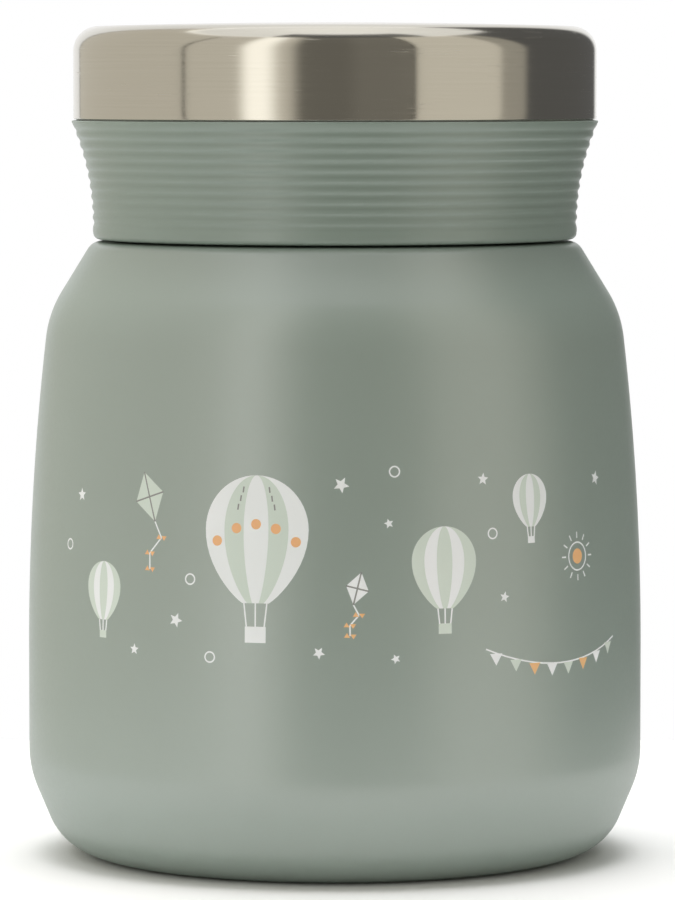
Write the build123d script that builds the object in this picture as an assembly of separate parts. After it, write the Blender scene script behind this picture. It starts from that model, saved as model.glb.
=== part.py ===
from build123d import *
import os
from math import cos, radians, sqrt

# Insulated food jar: a double-walled steel jar and a screw lid with a ribbed grip collar.
# Millimetres. +Z is the axis of the jar, pointing out of its mouth; the foot stands on Z = 0.
# Every profile is drawn as (radius, height) and turned about Z.

# Outer shell: corners of its outline as (radius, height), with the rounding at each one
BELLY_R = 50.0
FOOT_CORNER, FOOT_ROUND = (44.1, 0.0), 9.9
KNEE_CORNER, KNEE_ROUND = (BELLY_R, 14.0), 16.4
BARREL_CORNER, BARREL_ROUND = (BELLY_R, 58.7), 440.0
SHOULDER_CORNER, SHOULDER_ROUND = (46.6, 88.2), 18.0
DECK_R, DECK_Z, DECK_ROUND = 39.45, 99.8, 2.6
SHELL_WALL = 0.6

# Neck and mouth
NECK_R = 34.1
NECK_ROOT_ROUND = 0.9
NECK_TOP_Z = 115.0

# Vacuum gap and inner vessel
LINER_WALL = 0.5
LINER_R = 45.0
LINER_FLOOR_Z = 9.0
LINER_CROWN = 1.0
LINER_CORNER_ROUND = 11.0
LINER_SEAM_Z = 21.0
LINER_BARREL_Z, LINER_BARREL_ROUND = 60.0, 300.0
LINER_SHOULDER, LINER_SHOULDER_ROUND = (42.2, 86.6), 12.0
MOUTH_R = 32.1
LINER_NECK_R = MOUTH_R + LINER_WALL
LINER_NECK_Z, LINER_NECK_ROUND = 97.4, 5.0
LIP_ROUND = 0.7
FOIL_THICK = 0.15
FOIL_LOW_Z, FOIL_HIGH_Z = 24.0, 84.0

# Base
PAN_R = 36.2
PAN_WALL = 0.6
PAN_LEDGE_R, PAN_LEDGE_Z = 34.0, 2.4
PAN_FLOOR_Z = 4.6
DIMPLE_FOOT_R, DIMPLE_TOP_R, DIMPLE_RISE = 5.5, 3.5, 1.0
PUMP_HOLE_R = 0.7
SEAL_R, SEAL_DROP = 2.4, 0.8
COVER_R, COVER_THICK = 35.4, 0.6
GETTER_R, GETTER_THICK, GETTER_FROM_AXIS = 4.0, 1.3, 20.0
CLIP_WALL, CLIP_HEIGHT, CLIP_TAB = 0.3, 1.2, 3.0

# Closure thread: broad lugs wound round the neck, with matching ones inside the lid
THREAD_STARTS = 3
THREAD_LEAD = 13.5
LUG_BASE, LUG_CREST, LUG_HEIGHT = 2.6, 1.2, 0.9
LUG_ROOT_SINK = 0.2
NECK_LUG_SPAN, NECK_LUG_Z = 150.0, 103.6
LID_LUG_SPAN = 110.0
LUG_PLAY = 2.0
NECK_LUG_FADE, LID_LUG_FADE = 2.3, 3.0

# Lid
LID_FOOT_Z = 100.15
SEAM_Z = 119.4
LID_TOP_Z = 135.2
COLLAR_R = 39.32
FLARE_START_Z, FLARE_BEND = 102.4, 42.5
COLLAR_FOOT_ROUND = 1.0
SLEEVE_THICK = 1.6
RIM_ROUND = 0.2
GROOVE_COUNT, GROOVE_PITCH, GROOVE_LOW_Z = 10, 1.66, 102.87
RIB_PROUD, GROOVE_DEPTH = 0.05, 0.17
RIB_SHARE = 0.55
CAP_R, CAP_WALL, CAP_CORNER, CAP_CROWN = 42.5, 0.5, 4.0, 0.58
CAP_EDGE_GAP = 0.2
BORE_R = 35.3
BORE_LEAD_IN = 0.6
LID_DECK_Z, LID_DECK_THICK = 116.75, 1.5
SPIGOT_R, SPIGOT_WALL, SPIGOT_TOP_Z = CAP_R - CAP_WALL, 1.4, 127.0
CORE_GROOVE = ((39.2, 0.0), (37.9, -4.6), (37.1, -4.6), (36.9, 0.0))
PLUG_R, PLUG_WALL, PLUG_FLOOR_Z, PLUG_ROUND = 31.5, 1.4, 106.5, 1.5
PLUG_BEAD, PLUG_DISH_R, PLUG_DISH_RISE = 0.35, 24.0, 0.5
GASKET_OUT_R, GASKET_THICK, GASKET_PLAY = 35.0, 0.85, 0.05
GASKET_BEAD_R, GASKET_BEAD_DROP = 33.1, 0.25
FOAM_PLAY = 0.3


def lathe(face):
    """Turn a face drawn as (radius, height) about the axis of the jar."""
    return revolve(Plane.XZ * face, Axis.Z)


def section(*points):
    """A closed straight-sided section of (radius, height) points."""
    return make_face(Polyline(*points, close=True))


def sheet(outer_line, wall):
    """Section of a sheet-metal wall: its outer line and the same line moved in by the wall."""
    return make_face(offset(outer_line, amount=wall, side=Side.LEFT))


def ring(inner_r, outer_r, low_z, high_z):
    """Plain ring or, with no inner radius, a plain disc."""
    return lathe(section((inner_r, low_z), (outer_r, low_z), (outer_r, high_z), (inner_r, high_z)))


def domed_disc(radius, low_z, top_z, corner, crown):
    """Solid with straight sides, a rounded shoulder and a shallow dome that meet smoothly."""
    dome_r = ((radius - corner) ** 2 + crown**2) / (2 * crown)
    dome_centre_z = top_z - dome_r
    reach = dome_r - corner
    corner_r = radius - corner
    corner_z = dome_centre_z + sqrt(reach**2 - corner_r**2)
    tangent = Vector(corner_r, corner_z - dome_centre_z) * (dome_r / reach)
    shoulder_end = (tangent.X, tangent.Y + dome_centre_z)
    outline = Line((0, low_z), (radius, low_z))
    outline += Line((radius, low_z), (radius, corner_z))
    outline += RadiusArc((radius, corner_z), shoulder_end, -corner)
    outline += RadiusArc(shoulder_end, (0, top_z), -dome_r)
    outline += Line((0, top_z), (0, low_z))
    return lathe(make_face(outline))


def flare_radius(height, inset=0.0):
    """Radius of the collar's hollow-cheeked outer curve, or of one set in from it."""
    rise = max(0.0, height - FLARE_START_Z)
    bend = FLARE_BEND + inset
    return COLLAR_R + FLARE_BEND - sqrt(bend**2 - rise**2)


def flare_arc(low_z, high_z, inset):
    """Arc of the collar's curve between two heights, set in from the outer one."""
    middle_z = (low_z + high_z) / 2
    points = [(flare_radius(z, inset), z) for z in (low_z, middle_z, high_z)]
    return ThreePointArc(*points)


# ---------------------------------------------------------------- jar


def outer_shell():
    """Spun outer wall, from the foot over belly, shoulder and deck to the top of the neck."""
    outline = FilletPolyline(
        (PAN_R, 0),
        FOOT_CORNER,
        KNEE_CORNER,
        BARREL_CORNER,
        SHOULDER_CORNER,
        (DECK_R, DECK_Z),
        (NECK_R, DECK_Z),
        (NECK_R, NECK_TOP_Z),
        radius=[FOOT_ROUND, KNEE_ROUND, BARREL_ROUND, SHOULDER_ROUND, DECK_ROUND, NECK_ROOT_ROUND],
    )
    shell = lathe(sheet(outline, SHELL_WALL))
    for lug in neck_lugs():
        shell += lug
    return shell


def outer_bottom():
    """Pressed pan that closes the vacuum: a ledge for the cover and a dimple with the pump hole."""
    outline = Polyline(
        (PAN_R, 0),
        (PAN_R, PAN_LEDGE_Z),
        (PAN_LEDGE_R, PAN_LEDGE_Z),
        (PAN_LEDGE_R, PAN_FLOOR_Z),
        (DIMPLE_FOOT_R, PAN_FLOOR_Z),
        (DIMPLE_TOP_R, PAN_FLOOR_Z + DIMPLE_RISE),
        (PUMP_HOLE_R, PAN_FLOOR_Z + DIMPLE_RISE),
    )
    return lathe(sheet(outline, PAN_WALL))


def vacuum_seal():
    """Bead of solder glass that fills the pump hole and hangs as a drop in the dimple."""
    ceiling = PAN_FLOOR_Z + DIMPLE_RISE - PAN_WALL
    drop = Line((0, ceiling - SEAL_DROP), (0, ceiling + PAN_WALL))
    drop += Line((0, ceiling + PAN_WALL), (PUMP_HOLE_R, ceiling + PAN_WALL))
    drop += Line((PUMP_HOLE_R, ceiling + PAN_WALL), (PUMP_HOLE_R, ceiling))
    drop += Line((PUMP_HOLE_R, ceiling), (SEAL_R, ceiling))
    drop += EllipticalCenterArc((0, ceiling), SEAL_R, SEAL_DROP, start_angle=270, arc_size=90)
    return lathe(make_face(drop))


def base_cover():
    """Plain disc that hides the pan and its seal, bedded against the pan's ledge."""
    top = PAN_LEDGE_Z - PAN_WALL
    disc = ring(0, COVER_R, top - COVER_THICK, top)
    return chamfer(disc.edges().group_by(Axis.Z)[0], COVER_THICK / 2)


def getter_pellet():
    """Round pellet that soaks up the last gas in the vacuum gap."""
    low = PAN_FLOOR_Z + CLIP_WALL
    return Pos(GETTER_FROM_AXIS, 0, 0) * ring(0, GETTER_R, low, low + GETTER_THICK)


def getter_clip():
    """Small pressed cup with two welding tabs that holds the pellet on the pan."""
    out_r = GETTER_R + CLIP_WALL
    cup = ring(0, out_r, PAN_FLOOR_Z, PAN_FLOOR_Z + CLIP_HEIGHT)
    cup -= ring(0, GETTER_R, PAN_FLOOR_Z + CLIP_WALL, PAN_FLOOR_Z + CLIP_HEIGHT)
    tabs = Pos(0, 0, PAN_FLOOR_Z) * Box(
        2 * (out_r + CLIP_TAB), CLIP_TAB, CLIP_WALL, align=(Align.CENTER, Align.CENTER, Align.MIN)
    )
    return Pos(GETTER_FROM_AXIS, 0, 0) * (cup + tabs)


def liner_wall_line():
    """Outer line of the inner vessel's wall, from its bottom seam to the lip over the neck."""
    return FilletPolyline(
        (LINER_R, LINER_SEAM_Z),
        (LINER_R, LINER_BARREL_Z),
        LINER_SHOULDER,
        (LINER_NECK_R, LINER_NECK_Z),
        (LINER_NECK_R, NECK_TOP_Z),
        (NECK_R, NECK_TOP_Z),
        radius=[LINER_BARREL_ROUND, LINER_SHOULDER_ROUND, LINER_NECK_ROUND, LIP_ROUND],
    )


def inner_liner():
    """Spun wall of the inner vessel, whose lip is turned out over the edge of the neck."""
    return lathe(sheet(liner_wall_line(), LINER_WALL))


def liner_bottom():
    """Drawn dish with a slightly raised centre, butted to the wall of the inner vessel."""
    outline = FilletPolyline(
        (0, LINER_FLOOR_Z + LINER_CROWN),
        (LINER_R / 3, LINER_FLOOR_Z + LINER_CROWN),
        (LINER_R * 2 / 3, LINER_FLOOR_Z),
        (LINER_R, LINER_FLOOR_Z),
        (LINER_R, LINER_SEAM_Z),
        radius=[LINER_R, LINER_R, LINER_CORNER_ROUND],
    )
    return lathe(sheet(outline, LINER_WALL))


def insulation_foil():
    """Copper foil wound round the barrel of the inner vessel."""
    foil = lathe(make_face(offset(liner_wall_line(), amount=FOIL_THICK, side=Side.RIGHT)))
    return foil & ring(0, BELLY_R, FOIL_LOW_Z, FOIL_HIGH_Z)


# ---------------------------------------------------------------- closure thread


def lug_bar(root_r, crest_r, span, low_z):
    """One lug: a trapezoid section swept round the axis as it climbs, its base sunk in the wall."""
    sunk_r = root_r - LUG_ROOT_SINK if crest_r > root_r else root_r + LUG_ROOT_SINK
    profile = section(
        (sunk_r, low_z - LUG_BASE / 2),
        (root_r, low_z - LUG_BASE / 2),
        (crest_r, low_z - LUG_CREST / 2),
        (crest_r, low_z + LUG_CREST / 2),
        (root_r, low_z + LUG_BASE / 2),
        (sunk_r, low_z + LUG_BASE / 2),
    )
    path = Pos(0, 0, low_z) * Helix(THREAD_LEAD, THREAD_LEAD * span / 360, root_r)
    return sweep(Plane.XZ * profile, path=path, is_frenet=True)


def fade_cylinder(wall_r, span, shift):
    """Cylinder moved off the axis, so that it meets the wall at both ends of a lug and runs it out."""
    radius = wall_r - shift * cos(radians(span / 2))
    cylinder = Pos(shift, 0, 0) * Cylinder(
        radius, LID_TOP_Z, align=(Align.CENTER, Align.CENTER, Align.MIN)
    )
    return Rot(0, 0, span / 2) * cylinder


def neck_lugs():
    """The lugs round the neck."""
    bar = lug_bar(NECK_R, NECK_R + LUG_HEIGHT, NECK_LUG_SPAN, NECK_LUG_Z)
    bar &= fade_cylinder(NECK_R, NECK_LUG_SPAN, NECK_LUG_FADE)
    return [Rot(0, 0, 360 / THREAD_STARTS * start) * bar for start in range(THREAD_STARTS)]


def lid_lugs():
    """The lugs inside the lid, each lying in the groove under a lug of the neck."""
    turn = (NECK_LUG_SPAN - LID_LUG_SPAN) / 2
    low_z = NECK_LUG_Z + THREAD_LEAD * turn / 360 - LUG_PLAY
    bar = lug_bar(BORE_R, BORE_R - LUG_HEIGHT, LID_LUG_SPAN, low_z)
    bar -= fade_cylinder(BORE_R, LID_LUG_SPAN, -LID_LUG_FADE)
    return [Rot(0, 0, 360 / THREAD_STARTS * start + turn) * bar for start in range(THREAD_STARTS)]


# ---------------------------------------------------------------- lid


def lid_steel_cap():
    """Deep-drawn cap with a rounded shoulder and a very shallow dome."""
    low_z = SEAM_Z + CAP_EDGE_GAP
    skin = domed_disc(CAP_R, low_z, LID_TOP_Z, CAP_CORNER, CAP_CROWN)
    hollow = domed_disc(
        CAP_R - CAP_WALL, low_z, LID_TOP_Z - CAP_WALL, CAP_CORNER - CAP_WALL, CAP_CROWN
    )
    return skin - hollow


def ribbed_line(start, end_z):
    """Line up the collar's curve: shallow round grooves, with round ribs between them."""
    turn_proud = RIB_PROUD - RIB_SHARE * (RIB_PROUD + GROOVE_DEPTH)
    half_groove = GROOVE_PITCH * (1 - RIB_SHARE) / 2
    line = Curve()
    tip = start
    for groove in range(GROOVE_COUNT):
        middle_z = GROOVE_LOW_Z + groove * GROOVE_PITCH
        crest_z = (tip[1] + middle_z - half_groove) / 2
        crest = (flare_radius(crest_z) + RIB_PROUD, crest_z)
        low, high = [
            (flare_radius(z) + turn_proud, z) for z in (middle_z - half_groove, middle_z + half_groove)
        ]
        line += ThreePointArc(tip, crest, low)
        line += ThreePointArc(low, (flare_radius(middle_z) - GROOVE_DEPTH, middle_z), high)
        tip = high
    rim_low_z = tip[1] + half_groove
    line += Line(tip, (flare_radius(rim_low_z), rim_low_z))
    return line + flare_arc(rim_low_z, end_z, 0)


def lid_grip_sleeve():
    """Silicone sleeve: hollow-cheeked, ribbed between a plain foot and a plain rim."""
    foot_end = (COLLAR_R, LID_FOOT_Z + COLLAR_FOOT_ROUND)
    outline = RadiusArc((COLLAR_R - COLLAR_FOOT_ROUND, LID_FOOT_Z), foot_end, -COLLAR_FOOT_ROUND)
    outline += ribbed_line(foot_end, SEAM_Z)
    outline += Line((flare_radius(SEAM_Z), SEAM_Z), (flare_radius(SEAM_Z, SLEEVE_THICK), SEAM_Z))
    outline += flare_arc(FLARE_START_Z, SEAM_Z, SLEEVE_THICK)
    outline += Polyline(
        (COLLAR_R - SLEEVE_THICK, FLARE_START_Z),
        (COLLAR_R - SLEEVE_THICK, LID_FOOT_Z),
        (COLLAR_R - COLLAR_FOOT_ROUND, LID_FOOT_Z),
    )
    face = make_face(outline)
    return lathe(fillet(face.vertices().sort_by(Axis.X)[-1], RIM_ROUND))


def lid_body():
    """Moulded frame: threaded bore, flared seat for the sleeve, deck, and spigot for the cap."""
    deck_top = LID_DECK_Z + LID_DECK_THICK
    spigot_in_r = SPIGOT_R - SPIGOT_WALL
    outline = flare_arc(FLARE_START_Z, SEAM_Z, SLEEVE_THICK)
    outline += Polyline(
        (flare_radius(SEAM_Z, SLEEVE_THICK), SEAM_Z),
        (SPIGOT_R, SEAM_Z),
        (SPIGOT_R, SPIGOT_TOP_Z),
        (spigot_in_r, SPIGOT_TOP_Z),
        (spigot_in_r, deck_top),
        *[(radius, deck_top + drop) for radius, drop in CORE_GROOVE],
        (0, deck_top),
        (0, LID_DECK_Z),
        (BORE_R, LID_DECK_Z),
        (BORE_R, LID_FOOT_Z + BORE_LEAD_IN),
        (BORE_R + BORE_LEAD_IN, LID_FOOT_Z),
        (COLLAR_R - SLEEVE_THICK, LID_FOOT_Z),
        (COLLAR_R - SLEEVE_THICK, FLARE_START_Z),
    )
    frame = lathe(make_face(outline))
    for lug in lid_lugs():
        frame += lug
    return frame


def lid_plug():
    """Cup welded under the deck, which reaches down into the mouth and holds the foam."""
    bead_top = LID_DECK_Z - GASKET_THICK - GASKET_PLAY
    in_r = PLUG_R - PLUG_WALL
    cup = lathe(
        section(
            (0, PLUG_FLOOR_Z + PLUG_DISH_RISE),
            (PLUG_DISH_R - 2 * PLUG_DISH_RISE, PLUG_FLOOR_Z + PLUG_DISH_RISE),
            (PLUG_DISH_R, PLUG_FLOOR_Z),
            (PLUG_R, PLUG_FLOOR_Z),
            (PLUG_R, bead_top - 3 * PLUG_BEAD),
            (PLUG_R + PLUG_BEAD, bead_top - 2 * PLUG_BEAD),
            (PLUG_R + PLUG_BEAD, bead_top),
            (PLUG_R, bead_top),
            (PLUG_R, LID_DECK_Z),
            (in_r, LID_DECK_Z),
            (in_r, PLUG_FLOOR_Z + PLUG_WALL),
            (0, PLUG_FLOOR_Z + PLUG_WALL),
        )
    )
    foot = cup.edges().filter_by(GeomType.CIRCLE).group_by(Axis.Z)[0].sort_by(SortBy.RADIUS)[-1]
    return fillet(foot, PLUG_ROUND)


def plug_foam():
    """Foam core that lies on the floor of the plug and fills it."""
    low = PLUG_FLOOR_Z + PLUG_WALL
    return ring(0, PLUG_R - PLUG_WALL - FOAM_PLAY, low, LID_DECK_Z - FOAM_PLAY)


def cap_foam():
    """Foam pad between the deck and the crown of the steel cap."""
    low = LID_DECK_Z + LID_DECK_THICK
    spigot_in_r = SPIGOT_R - SPIGOT_WALL
    inset = CAP_WALL + FOAM_PLAY
    pad = domed_disc(CAP_R - inset, low, LID_TOP_Z - inset, CAP_CORNER - inset, CAP_CROWN)
    return pad - ring(spigot_in_r - FOAM_PLAY, CAP_R, low, SPIGOT_TOP_Z + FOAM_PLAY)


def lid_gasket():
    """Silicone ring under the deck, with a round bead that presses on the rim of the jar."""
    low = LID_DECK_Z - GASKET_THICK
    bead_reach = 2 * GASKET_BEAD_DROP
    outline = Polyline(
        (GASKET_BEAD_R + bead_reach, low),
        (GASKET_OUT_R, low),
        (GASKET_OUT_R, LID_DECK_Z),
        (PLUG_R, LID_DECK_Z),
        (PLUG_R, low),
        (GASKET_BEAD_R - bead_reach, low),
    )
    outline += ThreePointArc(
        (GASKET_BEAD_R - bead_reach, low),
        (GASKET_BEAD_R, low - GASKET_BEAD_DROP),
        (GASKET_BEAD_R + bead_reach, low),
    )
    return lathe(make_face(outline))


NODES = {
    "outer_shell": outer_shell,
    "outer_bottom": outer_bottom,
    "vacuum_seal": vacuum_seal,
    "base_cover": base_cover,
    "getter_pellet": getter_pellet,
    "getter_clip": getter_clip,
    "inner_liner": inner_liner,
    "liner_bottom": liner_bottom,
    "insulation_foil": insulation_foil,
    "lid_steel_cap": lid_steel_cap,
    "lid_grip_sleeve": lid_grip_sleeve,
    "lid_body": lid_body,
    "lid_plug": lid_plug,
    "plug_foam": plug_foam,
    "cap_foam": cap_foam,
    "lid_gasket": lid_gasket,
}

os.makedirs("parts", exist_ok=True)
for name, make in NODES.items():
    solid = make()
    export_step(solid, f"parts/{name}.step")
    print(f"{name}: {len(solid.solids())} solid, {solid.volume:.0f} mm3")
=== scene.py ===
"""Dresses the insulated food jar: smooth turned pieces, finishes, a printed band and a small studio."""

import logging
from collections.abc import Iterable, Sequence
from dataclasses import dataclass, field
from enum import Enum
from functools import reduce
from math import acos, atan2, cos, degrees, hypot, pi, radians, sin, sqrt, tan, tau

import bmesh
import bpy
from mathutils import Matrix, Vector


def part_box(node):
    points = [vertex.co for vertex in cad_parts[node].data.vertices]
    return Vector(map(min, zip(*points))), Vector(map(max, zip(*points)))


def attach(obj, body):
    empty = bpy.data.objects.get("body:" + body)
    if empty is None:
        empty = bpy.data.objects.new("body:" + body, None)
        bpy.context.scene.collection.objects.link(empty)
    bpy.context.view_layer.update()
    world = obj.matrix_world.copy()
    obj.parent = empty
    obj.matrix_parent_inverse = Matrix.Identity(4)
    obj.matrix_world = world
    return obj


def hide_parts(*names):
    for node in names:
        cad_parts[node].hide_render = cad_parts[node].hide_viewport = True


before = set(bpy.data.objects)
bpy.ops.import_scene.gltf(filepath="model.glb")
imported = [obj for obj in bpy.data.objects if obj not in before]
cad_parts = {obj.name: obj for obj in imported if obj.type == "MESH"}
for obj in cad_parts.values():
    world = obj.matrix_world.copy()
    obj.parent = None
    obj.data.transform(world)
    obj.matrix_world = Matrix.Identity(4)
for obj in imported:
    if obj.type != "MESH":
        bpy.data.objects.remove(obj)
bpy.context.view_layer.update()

MM = 0.001
TURN_STEPS = 256
SHARP_ANGLE = radians(32)
WELD = 1e-4
UP = Vector((0, 0, 1))

GRAIN_BAND = (0.3, 0.7)
CLOUD_BAND = (0.35, 0.65)
SCRATCH_BAND = (0.66, 0.74)

Point = tuple[float, float]
Colour = tuple[float, float, float, float]
Mesh = bmesh.types.BMesh
Vert = bmesh.types.BMVert
Material = bpy.types.Material
Socket = bpy.types.NodeSocket

log = logging.getLogger("food_jar")


class Body(Enum):
    """Moving bodies of the jar."""

    JAR = "jar"
    LID = "lid"


class Slot(Enum):
    """Material slots of the record, one for each kind of new piece."""

    COAT = "body_coat"
    STEEL = "bare_steel"
    VESSEL = "vessel_steel"
    CAP = "brushed_cap"
    GRIP = "silicone_grip"
    PLASTIC = "lid_plastic"
    SEAL = "silicone_seal"


# ------------------------------------------------------------------ measuring


def node_span(node: str) -> tuple[float, float, float]:
    """Radius, lowest and highest point of a round CAD node.

    Args:
        node: Name of the node.

    Returns:
        Its largest radius, its lowest height and its highest height, in millimetres.
    """
    low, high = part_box(node)
    return max(high.x, high.y, -low.x, -low.y) / MM, low.z / MM, high.z / MM


def linear(hex_colour: str) -> Colour:
    """Turn a display colour such as #8fa3b0 into the linear one that shaders take.

    Args:
        hex_colour: Red, green and blue as hexadecimal pairs.

    Returns:
        Linear red, green and blue, and an alpha of 1.
    """
    values = [int(hex_colour[start : start + 2], 16) / 255 for start in (1, 3, 5)]
    red, green, blue = (v / 12.92 if v <= 0.04045 else ((v + 0.055) / 1.055) ** 2.4 for v in values)
    return red, green, blue, 1.0


# ------------------------------------------------------------------ drawing turned pieces


@dataclass(frozen=True)
class Corner:
    """A corner of a section, with the tangent rounding that it gets."""

    radius: float
    height: float
    rounding: float
    steps: int = 8
    run_steps: int = 1


class Profile:
    """Half section of a turned piece, drawn in millimetres of radius and height.

    The solid, or the wall of a sheet, lies to the left of the line as it is drawn.
    """

    def __init__(self, radius: float, height: float) -> None:
        """Start the section at a point."""
        self.mesh = bmesh.new()
        self.tip = self.mesh.verts.new((radius, 0, height))

    def line(self, radius: float, height: float, steps: int = 1) -> "Profile":
        """Draw a straight run to a point.

        Args:
            radius: Radius of the point.
            height: Its height.
            steps: Number of equal pieces that the run is made of.

        Returns:
            The section.
        """
        step = (Vector((radius, 0, height)) - self.tip.co) / steps
        for _ in range(steps):
            grown = bmesh.ops.extrude_vert_indiv(self.mesh, verts=[self.tip])
            self.tip = grown["verts"][0]
            bmesh.ops.translate(self.mesh, verts=[self.tip], vec=step)
        return self

    def lines(self, *points: Point) -> "Profile":
        """Draw straight runs through several points.

        Args:
            *points: Radius and height of each point.

        Returns:
            The section.
        """
        for point in points:
            self.line(*point)
        return self

    def arc(self, centre: Point, end: Point, steps: int) -> "Profile":
        """Draw the shorter arc about a centre to a point.

        Args:
            centre: Radius and height of the arc's centre.
            end: Radius and height where it ends.
            steps: Number of straight pieces that it is made of.

        Returns:
            The section.
        """
        start_angle = atan2(self.tip.co.z - centre[1], self.tip.co.x - centre[0])
        end_angle = atan2(end[1] - centre[1], end[0] - centre[0])
        sweep = (end_angle - start_angle + pi) % tau - pi
        turned = bmesh.ops.spin(
            self.mesh,
            geom=[self.tip],
            cent=(centre[0], 0, centre[1]),
            axis=(0, -1, 0),
            angle=sweep,
            steps=steps,
        )
        self.tip = verts_of(turned["geom_last"])[0]
        return self

    def bow(self, end: Point, bulge: float, steps: int) -> "Profile":
        """Draw an arc to a point that rises from its chord to the right, or sinks to the left if below 0.

        Args:
            end: Radius and height where the arc ends.
            bulge: Rise of its middle over the chord.
            steps: Number of straight pieces that it is made of.

        Returns:
            The section.
        """
        start = Vector((self.tip.co.x, self.tip.co.z))
        chord = Vector(end) - start
        radius = ((chord.length / 2) ** 2 + bulge**2) / (2 * bulge)
        rightward = Vector((chord.y, -chord.x)).normalized()
        centre = start + chord / 2 + rightward * (bulge - radius)
        return self.arc((centre.x, centre.y), end, steps)

    def fillets(self, corners: Sequence[Corner], last: Point) -> "Profile":
        """Draw straight runs that round each corner with a tangent arc.

        Args:
            corners: The corners in order.
            last: Radius and height where the line ends.

        Returns:
            The section.
        """
        points = [(corner.radius, corner.height) for corner in corners] + [last]
        for corner, after in zip(corners, points[1:]):
            here = Vector((corner.radius, corner.height))
            back = (Vector((self.tip.co.x, self.tip.co.z)) - here).normalized()
            ahead = (Vector(after) - here).normalized()
            half = acos(max(-1.0, min(1.0, back.dot(ahead)))) / 2
            tangent = corner.rounding / tan(half)
            centre = here + (back + ahead).normalized() * (corner.rounding / sin(half))
            start, end = here + back * tangent, here + ahead * tangent
            self.line(start.x, start.y, corner.run_steps)
            self.arc((centre.x, centre.y), (end.x, end.y), corner.steps)
        return self.line(*last)

    def heights(self) -> list[Point]:
        """Points of the section as height and radius, from low to high."""
        return sorted((vert.co.z, vert.co.x) for vert in self.mesh.verts)

    def turn(self, wall: float = 0.0, softened: float = 0.0) -> Mesh:
        """Spin the section once round the axis.

        Args:
            wall: Thickness of the wall, for an open line that stands for a sheet.
            softened: Width of the rounding on its sharp edges.

        Returns:
            The turned mesh, its seam and poles merged and its faces pointing outwards.
        """
        self.mesh.verts.ensure_lookup_table()
        first, second = self.mesh.verts[0].co.copy(), self.mesh.verts[1].co.copy()
        bmesh.ops.remove_doubles(self.mesh, verts=self.mesh.verts[:], dist=WELD)
        bmesh.ops.spin(
            self.mesh,
            geom=self.mesh.verts[:] + self.mesh.edges[:],
            cent=(0, 0, 0),
            axis=UP,
            angle=tau,
            steps=TURN_STEPS,
            use_merge=True,
        )
        bmesh.ops.remove_doubles(self.mesh, verts=self.mesh.verts[:], dist=WELD)
        bmesh.ops.recalc_face_normals(self.mesh, faces=self.mesh.faces[:])
        middle = (first + second) / 2
        rightward = Vector((second.z - first.z, 0, first.x - second.x))
        nearest = min(self.mesh.faces, key=lambda face: (face.calc_center_median() - middle).length)
        if nearest.normal.dot(rightward) < 0:
            bmesh.ops.reverse_faces(self.mesh, faces=self.mesh.faces[:])
        if wall:
            bmesh.ops.solidify(self.mesh, geom=self.mesh.faces[:], thickness=wall)
        if softened:
            soften(self.mesh, softened)
        return self.mesh


def whole(mesh: Mesh) -> list[object]:
    """Every point, edge and face of a mesh."""
    return mesh.verts[:] + mesh.edges[:] + mesh.faces[:]


def verts_of(items: Iterable[object]) -> list[Vert]:
    """The points among mixed parts of a mesh."""
    return [item for item in items if isinstance(item, Vert)]


def swing(mesh: Mesh, verts: list[Vert], angle: float) -> None:
    """Turn points about the Z axis, by radians counter-clockwise."""
    bmesh.ops.rotate(mesh, verts=verts, cent=(0, 0, 0), matrix=Matrix.Rotation(angle, 3, "Z"))


def soften(mesh: Mesh, width: float) -> None:
    """Round every sharp edge of a closed mesh, with two faces across.

    Args:
        mesh: The mesh.
        width: Width of the rounding.
    """
    sharp = [
        edge for edge in mesh.edges if len(edge.link_faces) == 2 and edge.calc_face_angle(0.0) > SHARP_ANGLE
    ]
    bmesh.ops.bevel(
        mesh,
        geom=sharp,
        offset=width,
        offset_type="OFFSET",
        affect="EDGES",
        segments=2,
        profile=0.5,
        material=-1,
        clamp_overlap=True,
    )


def make_object(mesh: Mesh, name: str) -> bpy.types.Object:
    """Turn a finished bmesh in millimetres into a smooth-shaded object at the origin.

    Args:
        mesh: The mesh, which is freed.
        name: Name of the object.

    Returns:
        The object, linked to the scene.
    """
    bmesh.ops.scale(mesh, verts=mesh.verts[:], vec=(MM, MM, MM))
    data = bpy.data.meshes.new(name)
    mesh.to_mesh(data)
    mesh.free()
    data.polygons.foreach_set("use_smooth", [True] * len(data.polygons))
    data.set_sharp_from_angle(angle=SHARP_ANGLE)
    made = bpy.data.objects.new(name, data)
    bpy.context.scene.collection.objects.link(made)
    return made


def dress(
    mesh: Mesh,
    name: str,
    material: Material,
    body: Body,
    slot: Slot,
    *stands_for: str,
) -> None:
    """Make a piece, with its material, its moving body and the CAD nodes that it stands for.

    Args:
        mesh: Its finished mesh in millimetres, which is freed.
        name: Name of the piece.
        material: Its finish.
        body: The body that it rides on.
        slot: The record's material slot for it. It is not used.
        *stands_for: CAD nodes that it replaces.
    """
    piece = make_object(mesh, name)
    piece.data.materials.append(material)
    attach(piece, body.value)
    if stands_for:
        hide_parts(*stands_for)
    log.info("%s: %d faces, on %s", name, len(piece.data.polygons), body.value)


# ------------------------------------------------------------------ shader wiring


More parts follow.
